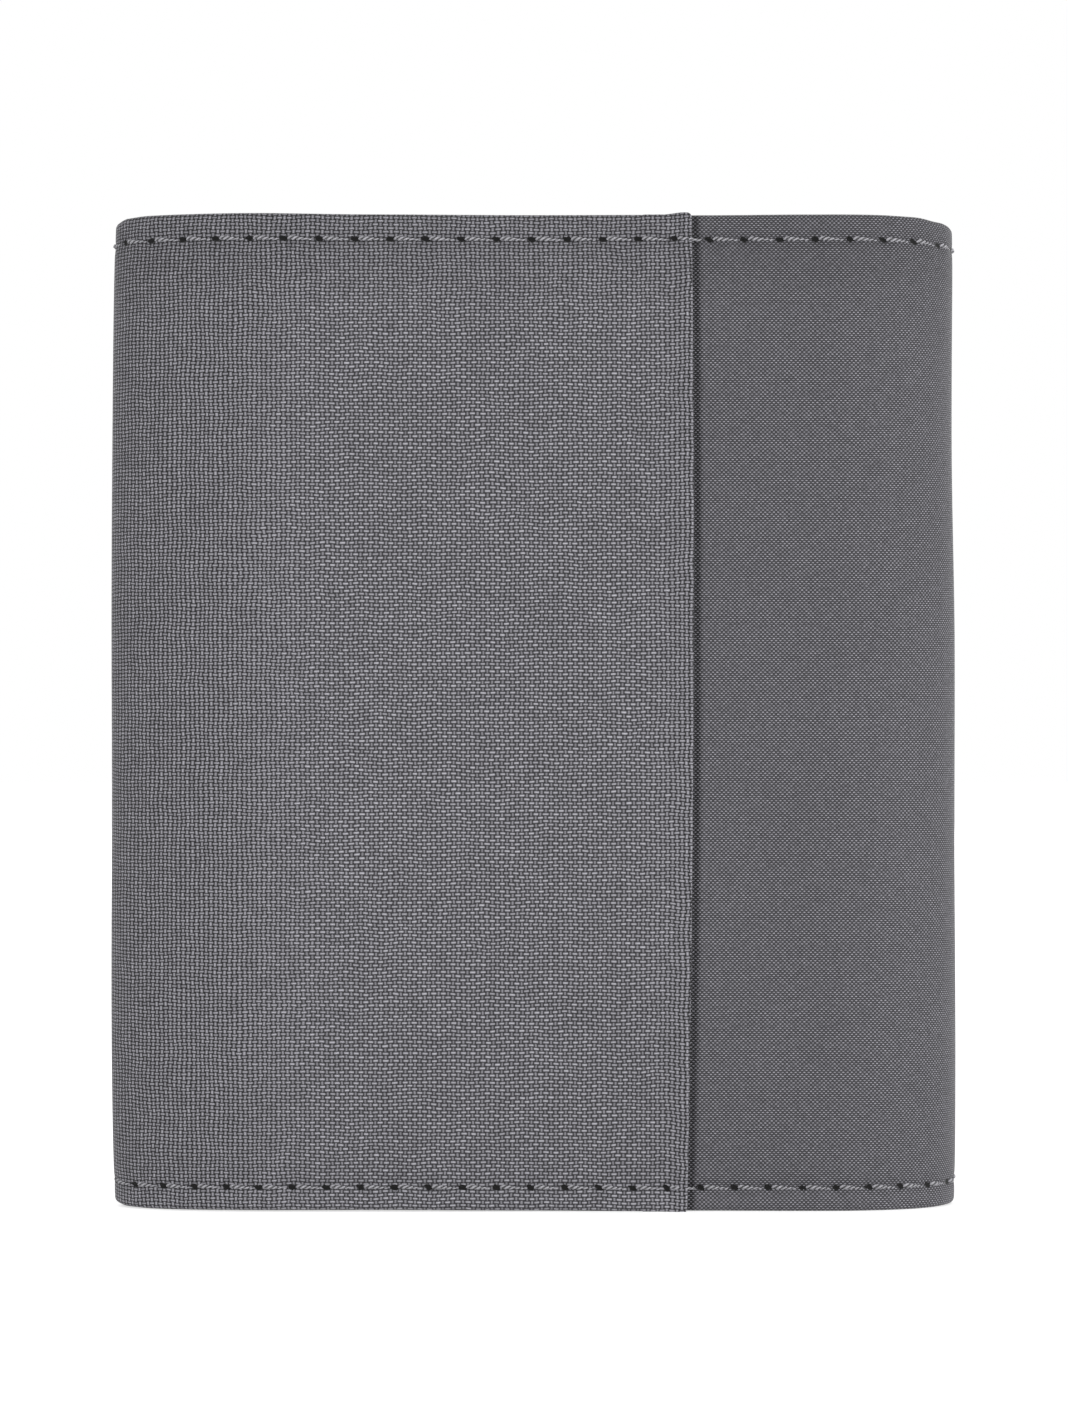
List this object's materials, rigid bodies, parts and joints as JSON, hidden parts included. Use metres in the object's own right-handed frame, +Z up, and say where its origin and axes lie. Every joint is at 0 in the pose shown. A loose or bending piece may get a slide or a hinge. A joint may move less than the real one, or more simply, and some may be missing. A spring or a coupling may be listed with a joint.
{
  "type": "wallet",
  "caption": "Closed cloth trifold wallet with two creased folds, a note compartment, card slots, a photo window, a zipped coin pouch and a hook-and-loop closure.",
  "frame": {"origin": "middle of the footprint, at the bottom edge of the closed wallet standing upright", "axes": "+X from the left fold to the right fold as seen from the back panel, +Y from the back panel to the outer flap, +Z up along the height"},
  "size_m": [0.09, 0.02, 0.105],
  "materials": {
    "coarse_cloth": "coarse plain weave, mid grey",
    "fine_cloth": "fine plain weave, mid grey",
    "lining_cloth": "smooth woven lining, dark grey",
    "pocket_cloth": "fine plain weave, mid grey",
    "padding": "needled felt padding",
    "hook_tape": "woven tape with hooks",
    "loop_tape": "napped loops",
    "zip_tape": "herringbone tape",
    "zip_teeth": "moulded, satin",
    "zip_metal": "satin nickel",
    "pull_tab": "soft moulded tab",
    "clear_film": "clear flexible film"
  },
  "bodies": {
    "back_panel": {"shell_coarse_back": "coarse_cloth", "shell_fine_back": "fine_cloth", "back_padding": "padding", "note_lining_back": "lining_cloth", "note_divider_back": "lining_cloth", "note_bottom_seam": "lining_cloth", "card_slot_rear": "pocket_cloth", "card_slot_middle": "pocket_cloth", "card_slot_front": "pocket_cloth"},
    "outer_spine": {"shell_fine_spine": "fine_cloth", "outer_spine_lining": "lining_cloth"},
    "outer_flap": {"shell_fine_flap": "fine_cloth", "outer_flap_padding": "padding", "note_divider_outer_flap": "lining_cloth", "hook_patch": "hook_tape", "pouch_gusset": "pocket_cloth", "pouch_panel_inboard": "pocket_cloth", "pouch_panel_outboard": "pocket_cloth", "zip_tapes": "zip_tape", "zip_teeth_inboard": "zip_teeth", "zip_teeth_outboard": "zip_teeth", "zip_stops": "zip_metal"},
    "zip_slider": {"zip_slider": "zip_metal"},
    "zip_pull": {"zip_pull_ring": "zip_metal", "zip_pull_tab": "pull_tab"},
    "inner_spine": {"shell_coarse_spine": "coarse_cloth", "inner_spine_lining": "lining_cloth"},
    "inner_flap": {"shell_coarse_flap": "coarse_cloth", "inner_flap_padding": "padding", "note_divider_inner_flap": "lining_cloth", "loop_patch": "loop_tape", "window_backing": "lining_cloth", "window_film": "clear_film", "window_border_cloth": "pocket_cloth"}
  },
  "joints": [
    {"name": "outer_back_crease", "type": "hinge", "parent": "back_panel", "child": "outer_spine", "pos_m": [0.04312, -0.00462, 0], "axis": [0, 0, -1], "range_deg": [0, 90]},
    {"name": "outer_flap_crease", "type": "hinge", "parent": "outer_spine", "child": "outer_flap", "pos_m": [0.04312, 0.00513, 0], "axis": [0, 0, -1], "range_deg": [0, 90]},
    {"name": "inner_back_crease", "type": "hinge", "parent": "back_panel", "child": "inner_spine", "pos_m": [-0.04252, -0.00605, 0], "axis": [0, 0, 1], "range_deg": [0, 90]},
    {"name": "inner_flap_crease", "type": "hinge", "parent": "inner_spine", "child": "inner_flap", "pos_m": [-0.04252, 0.00185, 0], "axis": [0, 0, 1], "range_deg": [0, 90]},
    {"name": "zip_slide", "type": "slide", "parent": "outer_flap", "child": "zip_slider", "axis": [0, 0, -1], "range_m": [0, 0.0728]},
    {"name": "zip_pull_swing", "type": "hinge", "parent": "zip_slider", "child": "zip_pull", "pos_m": [0.025, 0.00165, 0.0889], "axis": [0, 1, 0], "range_deg": [-25, 25]}
  ],
  "couplings": [
    {"joint": "outer_flap_crease", "follows": "outer_back_crease", "ratio": 1},
    {"joint": "inner_back_crease", "follows": "outer_back_crease", "ratio": 1},
    {"joint": "inner_flap_crease", "follows": "outer_back_crease", "ratio": 1}
  ]
}
